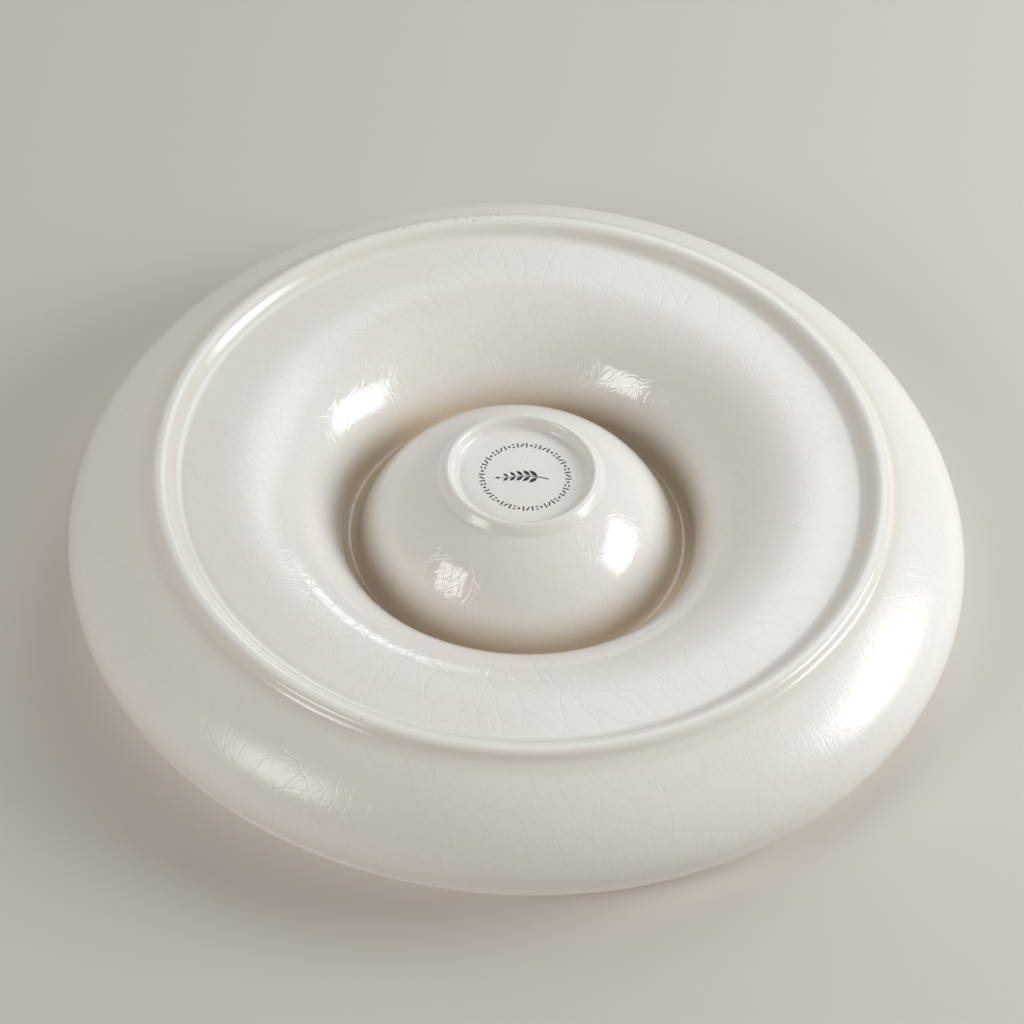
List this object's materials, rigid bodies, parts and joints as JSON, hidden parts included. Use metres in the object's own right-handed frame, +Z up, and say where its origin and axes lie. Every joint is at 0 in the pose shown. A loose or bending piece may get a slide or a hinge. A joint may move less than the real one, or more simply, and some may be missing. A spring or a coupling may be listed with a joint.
{
  "type": "chip and dip server",
  "caption": "Round ceramic serving tray with a rolled outer wall, a ring-shaped channel for chips and a raised dip bowl in its centre, on a narrow foot ring.",
  "frame": {"origin": "centre of the plane that the tray foot ring rests on, under the centre of the dip bowl", "axes": "+Z up, out of the dip bowl and the tray; the body is round about Z; +X points along the printed leaf"},
  "size_m": [0.3148, 0.3148, 0.0512],
  "materials": {
    "glaze": "gloss warm white glaze with a fine crackle",
    "foot_glaze": "the same glaze, thin on the foot rings, with pinholes that show the tan clay",
    "print": "fired-on dark grey print"
  },
  "bodies": {
    "root": {"tray_rolled_rim": "glaze", "tray_lower_wall": "glaze", "tray_floor": "glaze", "tray_inner_wall": "glaze", "tray_foot_ring": "foot_glaze", "shared_rim": "glaze", "bowl_wall": "glaze", "bowl_base": "glaze", "bowl_foot_ring": "foot_glaze", "print_ring": "print", "print_leaf": "print"}
  },
  "joints": []
}
